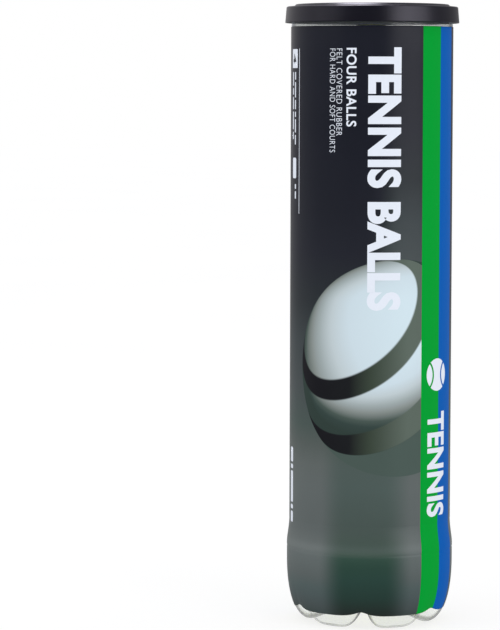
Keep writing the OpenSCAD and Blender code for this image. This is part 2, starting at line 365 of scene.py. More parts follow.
# Painted highlight: the dark of the film's top starts this much higher up at this azimuth from a
# front, where the soft box to the right is reflected, and that comes in between two heights
PAINTED_HIGHLIGHT_LIFT = 56.0
PAINTED_HIGHLIGHT_LIFT_AT = 32.0
PAINTED_HIGHLIGHT_LIFT_FADE = (70, 120)
# Azimuth of the middle of a front, as it shows the lowest ball and takes the painted shade
MIDDLE_AT = -3.0


def printed_film():
    """Smoky printed film: near black at the top, thinning to grey green at the bottom, with
    painted light on top of that: paler sides, a darker middle to each front, a bright band on the
    swell and a paler patch where the soft box is reflected.
    """
    n = new_material("printed_film")
    x, y, z = n.split()
    azimuth = n.azimuth(x, y)

    def near(angle, start, end):
        """1 about an azimuth on both fronts, fading between two cosines of the double angle."""
        twice = n.math("MULTIPLY_ADD", azimuth, 2.0, math.radians(-2 * angle))
        return n.smooth(n.math("COSINE", twice), start, end)

    height = n.math("DIVIDE", z, SLEEVE_TOP * MM)
    # Painted highlight: about one azimuth on each front the paler lower colours reach higher,
    # where the soft box is reflected
    upper = n.smooth(height, *(h / SLEEVE_TOP for h in PAINTED_HIGHLIGHT_LIFT_FADE))
    lift = n.math("MULTIPLY", near(PAINTED_HIGHLIGHT_LIFT_AT, 0.3, 0.95), upper)
    level = n.math("MULTIPLY_ADD", lift, -PAINTED_HIGHLIGHT_LIFT / SLEEVE_TOP, height)
    # Both ramps carry a painted highlight band along the top of the swell
    ramps = [n.ramp(level, [(h / SLEEVE_TOP, code) for h, code in stops])
             for stops in (FILM_SIDES_WITH_PAINTED_LIGHT, FILM_MIDDLE_WITH_PAINTED_LIGHT)]
    # The middle of each front takes the darker, greener ramp, the lowest ball seen through the
    # film with painted shade; the sides take the paler ramp, with painted reflection
    colour = n.mix(near(MIDDLE_AT, 0.35, 0.9), *ramps)
    mottle = n.math("MULTIPLY", n.noise(scale=35, detail=3), 0.12)
    colour = n.mix(mottle, colour, srgb("101316"))
    ripple = n.noise(scale=90)
    rough = n.math("MULTIPLY_ADD", ripple, 0.08, 0.26)
    return n.finish(n.principled(colour, rough, Specular_IOR_Level=PRINT_GLOSS,
                                 Normal=n.bump(ripple, 0.05, 0.4)))


def coat(n, colour, cover, rough, gloss):
    """Finishes an ink, whose uneven coverage stands up a little."""
    return n.finish(n.principled(colour, rough, Specular_IOR_Level=gloss,
                                 Normal=n.bump(cover, 0.03, 0.05)))


def ink(name, code, darker, gloss=PRINT_GLOSS):
    """Opaque printing ink with a slight unevenness in its coverage."""
    n = new_material(name)
    cover = n.noise(scale=900, detail=3)
    colour = n.mix(n.math("MULTIPLY", cover, 0.35), srgb(code), srgb(darker))
    return coat(n, colour, cover, 0.35, gloss)


# The plastic is hazier in the neck, from this height up
HAZE_FROM = 268.0
# How much it hides face on, and what its edges and its haze add to that
PLAIN_COVER, EDGE_COVER, HAZE_COVER = 0.05, 0.8, 0.2


def clear_plastic():
    """Clear PET: open face on, greyer and shinier where it turns edge on, the grey a painted
    reflection of darker surroundings beside its real gloss, hazy in the neck.
    """
    n = new_material("clear_plastic")
    facing = n.add("LayerWeight")
    facing.inputs["Blend"].default_value = 0.45
    edge = n.smooth(facing.outputs["Facing"], 0.6, 0.95)
    haze = n.smooth(n.split()["Z"], HAZE_FROM * MM, SLEEVE_TOP * MM)
    cover = n.math("MULTIPLY_ADD", haze, HAZE_COVER, PLAIN_COVER)
    cover = n.math("MULTIPLY_ADD", edge, EDGE_COVER, cover, clamp=True)
    # The grey of its edges is painted reflection of darker surroundings; the haze in the neck is
    # the plastic's own
    tint = n.mix(edge, n.mix(haze, srgb("fbfafd"), srgb("62676c")),
                 n.mix(haze, srgb("565b60"), srgb("a8b0ba")))
    waves = n.noise(scale=140)
    shader = n.principled(tint, 0.07, IOR=1.57, Normal=n.bump(waves, 0.06, 0.4))
    clear = n.add("BsdfTransparent")
    n.feed(clear.inputs["Color"], (0.99, 0.995, 0.99))
    return n.finish(n.mix_shaders(cover, clear, shader))


def end_metal(name, code, rough):
    """Lacquered aluminium sheet with faint rolling marks along Y."""
    n = new_material(name)
    stretch = n.add("Mapping")
    n.join(n.place(), stretch.inputs["Vector"])
    stretch.inputs["Scale"].default_value = (1.0, 0.04, 1.0)
    rolled = n.noise(scale=2200, detail=3, where=stretch.outputs[0])
    colour = n.mix(rolled, srgb(code), srgb("aeb1b6"))
    uneven = n.math("MULTIPLY_ADD", rolled, 0.14, rough)
    return n.finish(n.principled(colour, uneven, Metallic=0.75,
                                 Normal=n.bump(rolled, 0.08, 0.03)))


# Shades of the felt from its roots to its tips, darker at the roots as painted shade deep in the
# nap as well as uneven in colour, and how far its fibres stray, in metres
FELT_SHADES_AND_DYES = [(0.30, "9fb000"), (0.48, "c6d800"), (0.62, "dbe913"), (0.80, "eef455")]
FELT_TANGLE = 0.004


def felt():
    """Yellow-green wool felt: tangled fibres, uneven colour that is darker as painted shade where
    the nap is low, and a soft nap.
    """
    n = new_material("felt")
    warp = n.noise(scale=260).node.outputs["Color"]
    where = n.vector("ADD", n.place(), n.vector("MULTIPLY", warp, [FELT_TANGLE] * 3))
    fibre = n.noise(scale=1700, detail=4, roughness=0.65, where=where)
    clump = n.noise(scale=190, detail=3, roughness=0.6)
    # Colour follows the bump's noise: lower places darker, painted shade in the nap, with random
    # unevenness besides
    dye_and_shade = n.math("MULTIPLY_ADD", fibre, 0.6, n.math("MULTIPLY", clump, 0.5))
    height = n.math("ADD", fibre, n.math("MULTIPLY", clump, 0.8))
    return n.finish(n.principled(n.ramp(dye_and_shade, FELT_SHADES_AND_DYES), 0.95, Normal=n.bump(height, 0.7, 0.7),
                                 Sheen_Weight=0.45, Sheen_Roughness=0.5,
                                 Sheen_Tint=(0.95, 1.0, 0.55), Specular_IOR_Level=0.2))


def rubber(name, code, darker, rough):
    """Moulded rubber with a chalky, slightly pitted surface, darker in its pits as painted shade.
    """
    n = new_material(name)
    pits = n.noise(scale=1500, detail=4, roughness=0.6)
    # The darker colour falls in the low places of the bump: painted shade in the pits
    colour = n.mix(pits, srgb(darker), srgb(code))
    return n.finish(n.principled(colour, rough, Normal=n.bump(pits, 0.3, 0.2)))


# A plain ball with two bands round it, drawn on the film. The bands are angles from a pole
# that tips up and to the left; directions are right, up and out of the drawing.
ART_U, ART_Z, ART_R = 12.7, 119.7, 49.2
ART_POLE = (-0.53, 0.6, 0.5993)
ART_LIGHT = (0.42, 0.43, 0.78)
ART_BANDS = ((43.3, 54.5), (75.0, 90.0))
# Softness of the bands' edges, and how much darker the waist between them, the rim beyond
# the first band and the top of the drawing are
ART_EDGE = 0.008
WAIST_DARK, RIM_DARK, TOP_DARK = 0.6, 0.9, 0.38
# Pale shades by how far a place faces the light, from SHADE_FROM to SHADE_TO
SHADE_FROM, SHADE_TO = -0.5, 1.0
ART_SHADES = [(-0.5, "2e3c38"), (-0.25, "33423f"), (-0.1, "46544f"), (0.1, "808886"),
              (0.25, "98a3a5"), (0.42, "b6c2c7"), (0.6, "c2d2db"), (0.95, "c8dae3")]
# Shade beyond the second band
ART_FAR = "45544f"
# Dark shades along the bands, by the distance across from the ball's middle in radii
BAND_SHADES = [(-0.8, "18181d"), (-0.45, "1b1d20"), (-0.25, "384339"), (0.1, "56625a")]


def art_ink(front):
    """Shading of the drawn ball, worked out from the sphere that it stands for."""
    n = new_material(f"art_ink_{int(front)}")
    around = n.add("VectorRotate", rotation_type="Z_AXIS")
    n.join(n.place(), around.inputs["Vector"])
    around.inputs["Angle"].default_value = math.radians(-front)
    x, y, z = n.split(around.outputs[0])
    across = n.math("MULTIPLY_ADD", n.azimuth(x, y), FILM_R / ART_R, -ART_U / ART_R)
    up = n.math("MULTIPLY_ADD", z, 1 / (ART_R * MM), -ART_Z / ART_R)
    flat = n.math("ADD", n.math("MULTIPLY", across, across), n.math("MULTIPLY", up, up))
    toward = n.math("SQRT", n.math("SUBTRACT", 1.0, flat, clamp=True))
    combine = n.add("CombineXYZ")
    for socket, value in zip(combine.inputs, (across, up, toward), strict=True):
        n.join(value, socket)
    normal = combine.outputs[0]
    pole = n.vector("DOT_PRODUCT", normal, ART_POLE)
    first, second = ([math.cos(math.radians(a)) for a in band] for band in ART_BANDS)

    def above(level):
        """1 nearer the pole than a level, 0 beyond it."""
        return n.smooth(pole, level - ART_EDGE, level + ART_EDGE)

    waist_width = first[1] - second[0]
    waist = n.math("MULTIPLY_ADD", pole, -1 / waist_width, first[1] / waist_width, clamp=True)
    rim = n.math("SUBTRACT", 1.0, n.smooth(toward, 0.15, 0.5))
    rim = n.math("MULTIPLY", rim, n.math("SUBTRACT", 1.0, above(first[1])))
    lit = n.vector("DOT_PRODUCT", normal, ART_LIGHT)
    for where, dark in ((waist, WAIST_DARK), (rim, RIM_DARK), (n.smooth(up, 0.6, 1.05), TOP_DARK)):
        lit = n.math("MULTIPLY_ADD", where, -dark, lit)
    spread = SHADE_TO - SHADE_FROM
    lit = n.math("MULTIPLY_ADD", lit, 1 / spread, -SHADE_FROM / spread)
    pale = n.ramp(lit, [((s - SHADE_FROM) / spread, code) for s, code in ART_SHADES])
    pale = n.mix(above(second[1]), srgb(ART_FAR), pale)
    bands = [n.math("SUBTRACT", above(end), above(start)) for start, end in (first, second)]
    dark = n.ramp(n.math("MULTIPLY_ADD", across, 0.5, 0.5),
                  [((s + 1) / 2, code) for s, code in BAND_SHADES])
    colour = n.mix(n.math("ADD", *bands), pale, dark)
    return coat(n, colour, n.noise(scale=900, detail=3), 0.3, PRINT_GLOSS)


# ---------------------------------------------------------------- can shape


def ease(u):
    u = np.clip(u, 0, 1)
    return u * u * (3 - 2 * u)


def wall_r(z):
    """Outer radius of the bottle above the feet."""
    soft = ease((z - SWELL_LOW) / (SWELL_HIGH - SWELL_LOW))
    groove = GROOVE_DEPTH * math.exp(-(((z - GROOVE_Z) / GROOVE_WIDTH) ** 2))
    step = STEP_DEPTH * math.tanh((z - STEP_Z) / STEP_WIDTH)
    return BODY_R + BULGE * (1 - soft) - groove - (step if SWELL_LOW < z < SWELL_HIGH else 0)


def foot_weight(azimuth):
    """1 along the middle of a foot and 0 along a valley; azimuth is from +X."""
    off = (azimuth - LOBE_TURN + SECTOR / 2) % SECTOR - SECTOR / 2
    return 1 - (abs(off) / (SECTOR / 2)) ** VALLEY_NARROWNESS


def petal(u, weight, t=0.0, under=False):
    """Radius and height on the base: u runs down the side, or then in under the foot."""
    if under:
        side = (FOOT_R * (1 - u),
                PAD_SINK + t + (HUB_Z - PAD_SINK) * (1 - math.cos(math.pi * u**UNDER_POWER)) / 2)
        angle = math.radians(VALLEY_FOOT_ANGLE + (90 - VALLEY_FOOT_ANGLE) * u)
    else:
        a = math.pi / 2 * u
        side = (FOOT_R + (RING_R - FOOT_R - t) * max(math.cos(a), 0.0) ** PETAL_POWER,
                RING_Z - (RING_Z - PAD_SINK - t) * math.sin(a) ** PETAL_POWER)
        angle = math.radians(VALLEY_FOOT_ANGLE * u)
    dip = ((RING_R - t) * math.cos(angle), RING_Z - (RING_Z - HUB_Z - t) * math.sin(angle))
    r, z = (weight * s + (1 - weight) * d for s, d in zip(side, dip, strict=True))
    return r, z - PAD_SINK * max(0.0, 1 - (z - PAD_SINK - t) / PAD_FADE)


def turned(r, z, azimuth):
    a = math.radians(azimuth)
    return (r * math.cos(a), r * math.sin(a), z)


def ring(r, z, azimuths):
    return [turned(r, z, a) for a in azimuths]


def firm(profile, reach=0.12, longest=0.8):
    """Adds points beside the ends of long straight runs, so that shading stays flat there."""
    points = []
    for (r0, z0), (r1, z1) in zip(profile, profile[1:] + profile[:1], strict=True):
        points.append((r0, z0))
        length = math.hypot(r1 - r0, z1 - z0)
        if length > longest:
            for share in (reach / length, 1 - reach / length):
                points.append((r0 + (r1 - r0) * share, z0 + (z1 - z0) * share))
    return points


def lathe(name, profile, body, mats, steps, sharp):
    """Turns a closed outline of (radius, height) points about the can's axis."""
    points, rows = [], []
    for r, z in firm(profile):
        if r < 1e-6:
            rows.append([len(points)] * steps)
            points.append((0.0, 0.0, z))
        else:
            rows.append(list(range(len(points), len(points) + steps)))
            points += [turned(r, z, 360 * k / steps) for k in range(steps)]
    faces = []
    for row, after in zip(rows, rows[1:] + rows[:1], strict=True):
        for k in range(steps):
            m = (k + 1) % steps
            face = list(dict.fromkeys((row[k], after[k], after[m], row[m])))
            if len(face) > 2:
                faces.append(face)
    piece = add_piece(name, points, faces, body, mats)
    face_outward(piece)
    shade_by_angle(piece, sharp)
    return piece


def arc(cr, cz, r, start, end, steps):
    """Points of an arc about (cr, cz), angles in degrees."""
    return [(cr + r * math.cos(math.radians(start + (end - start) * k / steps)),
             cz + r * math.sin(math.radians(start + (end - start) * k / steps)))
            for k in range(steps + 1)]


def strip(path, thickness):
    """Closed outline of sheet of a given thickness along a path."""
    p = np.array(path, dtype=float)
    d = np.diff(p, axis=0)
    d /= np.linalg.norm(d, axis=1)[:, None]
    left = np.stack([-d[:, 1], d[:, 0]], 1)
    m = np.vstack([left[:1], left[:-1] + left[1:], left[-1:]])
    m[0] *= 2
    m[-1] *= 2
    m = 2 * m / (m**2).sum(1)[:, None]
    t = np.broadcast_to(np.asarray(thickness, dtype=float), len(p))[:, None]
    a = p + m * t / 2
    b = p - m * t / 2
    return [tuple(v) for v in a] + [tuple(v) for v in b[::-1]]


# ---------------------------------------------------------------- can pieces

AROUND = 360
SWELL_ROWS = 50
SIDE_ROWS = 40
UNDER_ROWS = 26


def neck_outline():
    """Path of the bottle's wall where it narrows and folds into the double seam."""
    fold_r, turn_z = (HOOK_R - NECK_R) / 2, SEAM_TOP - 1.2
    return ([(NECK_R + 0.02, NECK_Z + 0.9), (NECK_R, NECK_Z + 1.2)]
            + arc(NECK_R + fold_r, turn_z, fold_r, 180, 0, 10) + [(HOOK_R, SEAM_TOP - 2.5)])


def make_bottle(mat):
    """Clear bottle: feet, swollen band, wall and neck as one closed shell."""
    azimuths = [360 * i / AROUND for i in range(AROUND)]
    weights = [foot_weight(a) for a in azimuths]
    heights = [*np.linspace(RING_Z, SWELL_HIGH, SWELL_ROWS)[1:], SLEEVE_TOP - 2, NECK_Z]
    neck = neck_outline()
    outline = strip([(wall_r(z) - WALL / 2, z) for z in heights] + neck,
                    [WALL] * len(heights) + [NECK_WALL] * len(neck))
    half = len(outline) // 2

    def feet(shares, t=0.0, under=False):
        """Rows at shares of the way down the sides of the feet, or in under them."""
        return [[turned(*petal(u, w, t, under), a) for w, a in zip(weights, azimuths, strict=True)]
                for u in shares]

    sides = np.linspace(0, 1, SIDE_ROWS + 1)
    unders = np.linspace(0, 1, UNDER_ROWS + 1)[1:-1]
    outside = [ring(r, z, azimuths) for r, z in outline[half:]]
    outside += feet(sides) + feet(unders, under=True)
    inside = feet(unders[::-1], WALL, under=True) + feet(sides[::-1], WALL)
    inside += [ring(r, z, azimuths) for r, z in outline[:half]]
    points = [p for row in outside + inside for p in row]
    first, end = len(outside) * AROUND, len(points) - AROUND
    last = first - AROUND
    hub_out, hub_in = len(points), len(points) + 1
    points += [(0, 0, HUB_Z), (0, 0, HUB_Z + WALL)]
    faces = grid_faces(len(outside), AROUND, flip=True)
    faces += grid_faces(len(inside), AROUND, start=first, flip=True)
    for i in range(AROUND):
        k = (i + 1) % AROUND
        faces.append((last + i, hub_out, last + k))
        faces.append((first + i, first + k, hub_in))
        faces.append((end + i, i, k, end + k))
    return add_piece("bottle", points, faces, "can", [mat])


def stripe_azimuths(count=320):
    """Directions round the sleeve from the front, with every stripe edge among them."""
    edges = sorted((a + f) % 360 for f in FRONTS for a in (GREEN_FROM, GREEN_TO, BLUE_TO))
    spread = []
    for a, b in zip(edges, edges[1:] + [edges[0] + 360], strict=True):
        steps = max(1, round(count * (b - a) / 360))
        spread += [a + (b - a) * k / steps for k in range(steps)]
    return spread


def stripe_slot(azimuth):
    """Material of the film at an azimuth from the front: 0 film, 1 green, 2 blue."""
    for f in FRONTS:
        a = (azimuth - f) % 360
        if GREEN_FROM < a < GREEN_TO:
            return 1
        if GREEN_TO < a < BLUE_TO:
            return 2
    return 0


def film_point(u, azimuth, shift):
    """Point of the film on the feet, with azimuth from the front."""
    a = azimuth - 90
    valley = 1 - foot_weight(a)
    weight = 1 - (1 - FILM_BRIDGE) * valley * (1.5 - 0.5 * valley**2)
    r, z = petal(u, weight)
    tilt = math.pi / 2 * u
    return turned(r + shift * math.cos(tilt), z - shift * math.sin(tilt), a)


def make_sleeve(mats):
    """Printed film as a closed thin shell that follows the bottle and its feet."""
    azimuths = stripe_azimuths()
    count = len(azimuths)
    heights = [SLEEVE_TOP, SLEEVE_TOP - 0.4] + list(np.linspace(SLEEVE_TOP - 12, SWELL_HIGH, 24))
    heights += list(np.linspace(SWELL_HIGH, RING_Z, 66)[1:-1])
    steps = np.linspace(0, FILM_EDGE, 30)

    def side(shift, top_in):
        """Rows of one side of the film, its top edge drawn in a little."""
        rows = []
        for i, z in enumerate(heights):
            r = wall_r(z) + shift - (top_in if i == 0 else 0)
            rows.append(ring(r, z, [a - 90 for a in azimuths]))
        rows += [[film_point(u, a, shift) for a in azimuths] for u in steps]
        return rows

    outer, inner = side(FILM_GAP + FILM, 0.04), side(FILM_GAP, 0)
    rows = outer + inner[::-1]
    points = [p for row in rows for p in row]
    faces = grid_faces(len(rows), count, flip=True)
    end = (len(rows) - 1) * count
    faces += [(end + i, i, (i + 1) % count, end + (i + 1) % count) for i in range(count)]
    middles = [(azimuths[i] + (azimuths[i + 1] if i + 1 < count else azimuths[0] + 360)) / 2
               for i in range(count)]
    slots = [stripe_slot(middles[i % count]) for i in range(len(faces))]
    return add_piece("printed_sleeve", points, faces, "can", mats, slots)


# ---------------------------------------------------------------- printing on the wall


# Thickness of most ink, of the thinnest and of the thickest, and its gap from the film
INK, THIN_INK, THICK_INK = 0.03, 0.02, 0.05
INK_GAP = 0.004
# Flat printing is cut this often, so that it bends round the can
BEND_STEP = 1.2


def cut(bm, u, drop_beyond=False):
    """Cuts a flat bmesh along a line up the can, and may drop what lies beyond it."""
    bmesh.ops.bisect_plane(bm, geom=[*bm.verts, *bm.edges, *bm.faces], dist=1e-5,
                           plane_co=(u, 0, 0), plane_no=(1, 0, 0), clear_outer=drop_beyond)


def wrap(bm, lift, front):
    """Bends a flat bmesh in (distance round, height) millimetres on to the sleeve."""
    us = [v.co.x for v in bm.verts]
    u = math.ceil(min(us) / BEND_STEP) * BEND_STEP
    while u < max(us):
        cut(bm, u)
        u += BEND_STEP
    bmesh.ops.triangulate(bm, faces=[f for f in bm.faces if len(f.verts) > 4])
    extruded = bmesh.ops.extrude_face_region(bm, geom=list(bm.faces), use_keep_orig=True)
    tops = {v for v in extruded["geom"] if isinstance(v, bmesh.types.BMVert)}
    # Faces are turned outward while the ink is still flat, as a block a millimetre thick
    for v in tops:
        v.co.z = 1.0
    bmesh.ops.recalc_face_normals(bm, faces=bm.faces)
    for v in bm.verts:
        azimuth = v.co.x / FILM_R + math.radians(front)
        r = FILM_R + (lift if v in tops else INK_GAP)
        v.co = Vector((r * math.sin(azimuth), -r * math.cos(azimuth), v.co.y)) * MM


def printed(name, bm, mat, front, lift=INK):
    """Makes a piece of raised ink from a flat bmesh."""
    wrap(bm, lift, front)
    name = f"{name}_{'front' if front == 0 else 'back'}"
    mesh = bpy.data.meshes.new(name)
    bm.to_mesh(mesh)
    bm.free()
    shade_by_angle(ride_mesh(name, mesh, "can", [mat]), 30)


def polygon(bm, points):
    return bm.faces.new([bm.verts.new((u, z, 0)) for u, z in points])


def bar(bm, u0, u1, z0, z1, corner=0.0):
    """Rectangle with rounded corners."""
    if corner <= 0:
        polygon(bm, [(u0, z0), (u1, z0), (u1, z1), (u0, z1)])
        return
    points = []
    for cu, cz, start in ((u1 - corner, z0 + corner, -90), (u1 - corner, z1 - corner, 0),
                          (u0 + corner, z1 - corner, 90), (u0 + corner, z0 + corner, 180)):
        points += arc(cu, cz, corner, start, start + 90, 4)
    polygon(bm, points)


def letters(bm, text, u0, u1, top, length, weight, spacing=1.0):
    """Plain capitals that read downwards, their feet at u0 and their tops at u1."""
    curve = bpy.data.curves.new("letters", "FONT")
    curve.body = text
    curve.offset = weight
    curve.space_character = spacing
    curve.resolution_u = 6
    holder = link_object("letters", curve)
    bpy.context.view_layer.update()
    mesh = bpy.data.meshes.new_from_object(holder.evaluated_get(
        bpy.context.evaluated_depsgraph_get()))
    bpy.data.objects.remove(holder)
    bpy.data.curves.remove(curve)
    co = np.array([v.co[:2] for v in mesh.vertices])
    lo, hi = co.min(0), co.max(0)
    with opened(mesh) as fresh:
        bmesh.ops.remove_doubles(fresh, verts=fresh.verts, dist=1e-5)
        for v in fresh.verts:
            along = (v.co.x - lo[0]) / (hi[0] - lo[0]) * length
            rise = (v.co.y - lo[1]) / (hi[1] - lo[1]) * (u1 - u0)
            v.co = Vector((u0 + rise, top - along, 0))
    bm.from_mesh(mesh)
    bpy.data.meshes.remove(mesh)


def word_bars(bm, u0, u1, top, lengths, gap=1.1):
    """Line of small print shown as plain bars, one for each word, reading downwards."""
    z = top
    for length in lengths:
        bar(bm, u0, u1, z - length, z, (u1 - u0) * 0.2)
        z -= length + gap


def ball_icon(bm, cu, cz, r):
    """Plain white ball, its two seams left open between three solid parts."""
    far, seam_out, seam_in = 1.45 * r, 0.98 * r, 1.12 * r

    def crossing(s):
        """Half angles where a seam edge of radius s meets the rim, on the rim and the edge."""
        x = (far**2 + r**2 - s**2) / (2 * far)
        return math.degrees(math.acos(x / r)), math.degrees(math.acos((far - x) / s))

    rim, edge = crossing(seam_out)
    for way in (0, 180):
        side = cu + far * math.cos(math.radians(way))
        polygon(bm, arc(cu, cz, r, way - rim, way + rim, 16)
                + arc(side, cz, seam_out, way + 180 - edge, way + 180 + edge, 16)[1:-1])
    rim, edge = crossing(seam_in)
    polygon(bm, arc(cu, cz, r, rim, 180 - rim, 24)
            + arc(cu - far, cz, seam_in, edge, -edge, 16)[1:-1]
            + arc(cu, cz, r, 180 + rim, 360 - rim, 24)
            + arc(cu + far, cz, seam_in, 180 + edge, 180 - edge, 16)[1:-1])


def make_art(mat, front):
    """Drawing of the ball, cut off where the green stripe begins."""
    bm = bmesh.new()
    polygon(bm, arc(ART_U, ART_Z, ART_R, 0, 360, 160)[:-1])
    cut(bm, math.radians(GREEN_FROM) * FILM_R, drop_beyond=True)
    printed("ball_drawing", bm, mat, front, THIN_INK)


# Lettering by piece, as text, feet, tops, top end, length, weight and spacing. Feet and tops
# are distances round the sleeve from the middle of a front.
LETTERING = {
    "large_word": [("TENNIS BALLS", -1.8, 13.7, 264.0, 118.2, 0.045, 1.06)],
    "small_word": [("FOUR BALLS", -11.6, -6.9, 263.7, 35.2, 0.02, 1.06)],
    "small_print": [("FELT COVERED RUBBER", -16.4, -13.6, 263.4, 39.0, -0.008, 1.1),
                    ("FOR HARD AND SOFT COURTS", -19.8, -17.0, 263.4, 46.5, -0.008, 1.1)],
    "stripe_word": [("TENNIS", 28.8, 42.3, 98.8, 48.0, 0.035, 1.05)],
    "number": [("4", -47.8, -44.0, 261.3, 4.4, 0.03)],
}
# Lines of bars that stand for small print: left, right, top end and the words' lengths
BARS = [(-45.4, -44.2, 253.0, (3.5, 7.0, 4.2, 2.4, 6.0, 4.4)),
        (-48.6, -47.2, 253.0, (6.2, 3.0, 5.5, 8.1, 3.4)),
        (-48.2, -43.6, 214.0, (9.4,)),
        (-45.2, -43.8, 202.0, (2.2, 3.4)),
        (-50.0, -46.4, 81.0, (6.8, 2.0, 14.5, 2.0, 5.0))]
# The rule beside them and the box of the number: left, right, bottom and top
RULE = (-40.5, -40.1, 188.6, 263.6)
NUMBER_BOX = (-49.3, -42.3, 254.8, 263.4)
# Middle and radius of the ball on the green stripe
ICON = (35.6, 115.8, 7.4)


def make_lettering(name, mat, front, lift=INK):
    bm = bmesh.new()
    for line in LETTERING[name]:
        letters(bm, *line)
    printed(name, bm, mat, front, lift)


def make_print(white, front):
    """Lettering and bars in white ink."""
    make_lettering("large_word", white, front, THICK_INK)
    make_lettering("small_word", white, front)
    make_lettering("small_print", white, front)

    side = bmesh.new()
    bar(side, *RULE)
    for line in BARS:
        word_bars(side, *line)
    printed("side_print", side, white, front)

    box = bmesh.new()
    bar(box, *NUMBER_BOX, corner=0.4)
    printed("number_box", box, white, front)

    icon = bmesh.new()
    ball_icon(icon, *ICON)
    printed("stripe_ball", icon, white, front)
    make_lettering("stripe_word", white, front)


def make_number(dark, front):
    """Numeral in the white box at the edge of the front."""
    make_lettering("number", dark, front, THICK_INK)


# ---------------------------------------------------------------- lid


def make_lid(mat):
    """Press-on lid with its stacking ring, inner bead and gate mark."""
    under_z = SEAM_TOP + 0.15
    top_z = under_z + 0.95
    shoulder_z = top_z + 0.35
    bead_z, bead = SEAM_TOP - 3.7, 0.62
    corner, lip, shoulder = 0.3, 0.2, 0.7
    profile = [(0, under_z), (LID_INNER_R - corner, under_z), (LID_INNER_R, under_z - corner)]
    profile += [(LID_INNER_R, bead_z + 0.7)] + arc(LID_INNER_R + 0.1, bead_z, bead, 120, 240, 8)
    profile += [(LID_INNER_R, bead_z - 0.9), (LID_INNER_R + 0.55, LID_LOW + 0.1)]
    profile += [(LID_INNER_R + 0.68, LID_LOW)]
    profile += arc(LID_R - corner, LID_LOW + corner, corner, -90, 0, 6)
    profile += arc(LID_R - 1.25, shoulder_z - shoulder, shoulder, 4, 90, 10)
    profile += arc(LID_RING_OUT + corner, shoulder_z + corner, corner, -90, -180, 6)
    # The ring's outer edge is chamfered: a slope of a given run between two soft corners
    slope, soft, run = 35.0, 0.4, 1.5
    run_in, run_up = run * math.sin(math.radians(slope)), run * math.cos(math.radians(slope))
    soft_r, soft_z = LID_RING_OUT - soft, CAN_HEIGHT - soft
    profile += arc(soft_r, soft_z - run_up, soft, 0, slope, 5)
    profile += arc(soft_r - run_in, soft_z, soft, slope, 90, 5)
    profile += arc(LID_RING_IN + lip, CAN_HEIGHT - lip, lip, 90, 180, 6)
    profile += arc(LID_RING_IN - corner, top_z + corner, corner, 0, -90, 6)
    # A shallow ring line, then the gate mark in the middle, as (radius, depth)
    for r, depth in ((26.0, 0), (25.7, 0.06), (24.9, 0.06), (24.6, 0), (2.6, 0), (2.3, 0.22),
                     (0.9, 0.22), (0.7, 0.06), (0, 0.04)):
        profile.append((r, top_z - depth))
    lid = lathe("press_lid", profile, "lid", [mat], steps=320, sharp=30)
    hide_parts("lid")


# ---------------------------------------------------------------- balls

# Steps along and across a felt panel and round a seam, and points over a seam's crown
PANEL_ALONG, PANEL_ACROSS = 168, 72
SEAM_STEPS, CROWN_POINTS = 540, 9
# Felt: how far its outside lies in from the ball's, the height of its nap, and how far and
# how wide its edges roll down
FELT_SINK, NAP = 0.12, 0.22
EDGE_DROP, EDGE_WIDTH = 0.95, 1.5
# Seam: how far its sides lie in from the ball's outside, how high its crown stands above
# them and how uneven it is
SEAM_SINK, SEAM_CROWN, SEAM_WOBBLE = 0.75, 0.22, 0.05


def seam_points(t):
    """Points of the seam curve on a unit sphere, and the directions in to the +Z panel."""
    def curve(a):
        return np.stack([np.cos(a) ** 3, np.sin(a) ** 3, math.sqrt(3) * np.sin(a) * np.cos(a)], -1)

    p = curve(t)
    along = curve(t + 0.01) - curve(t - 0.01)
    inward = np.cross(p, along)
    return p, inward / np.linalg.norm(inward, axis=-1, keepdims=True)


def ball_place(i):
    """Centre and outer radius of ball i, from its CAD pieces."""
    lows = np.minimum(low(f"ball_{i}_core_a"), low(f"ball_{i}_core_b"))
    highs = np.maximum(high(f"ball_{i}_core_a"), high(f"ball_{i}_core_b"))
    centre = (lows + highs) / 2
    felts = np.maximum(high(f"ball_{i}_felt_a"), high(f"ball_{i}_felt_b"))
    return centre, felts[2] - centre[2]


def fluff(p, seed):
    """Height of the felt's nap at a point, from -1 to 1."""
    v = Vector(p) + Vector((seed * 17.3, seed * 5.1, 0))
    fine = noise.fractal(v * 0.55, 0.8, 2.1, 3)
    coarse = noise.noise(v * 0.16)
    return 0.65 * fine + 0.35 * coarse


def panel_edge(degrees, edge):
    """Points on a felt panel's edge, which runs beside the seam curve."""
    p, inward = seam_points(np.radians(degrees))
    return np.cos(edge) * p + np.sin(edge) * inward


def panel_grid(edge):
    """Rows of points over a panel on a unit sphere, as one list, and the panel's two tips."""
    rim = panel_edge(np.linspace(-45, 135, PANEL_ALONG + 1)[1:-1], edge)
    far = np.stack([-rim[:, 1], -rim[:, 0], rim[:, 2]], -1)
    k = np.linspace(0, 1, PANEL_ACROSS + 1)[None, :, None]
    k = 0.5 - 0.5 * np.cos(np.pi * (0.12 + 0.76 * k))
    k = (k - k.min()) / (k.max() - k.min())
    rows = rim[:, None, :] * (1 - k) + far[:, None, :] * k
    rows /= np.linalg.norm(rows, axis=-1, keepdims=True)
    return rows.reshape(-1, 3), [panel_edge(np.array([end]), edge)[0] for end in (-45.0, 135.0)]


def edge_distance(points, edge, radius):
    """How far in from the panel's edge each point lies."""
    border = panel_edge(np.linspace(0, 360, 721), edge).T
    batch = 2000
    near = np.concatenate([(points[a : a + batch] @ border).max(1)
                           for a in range(0, len(points), batch)])
    return np.arccos(np.clip(near, -1, 1)) * radius


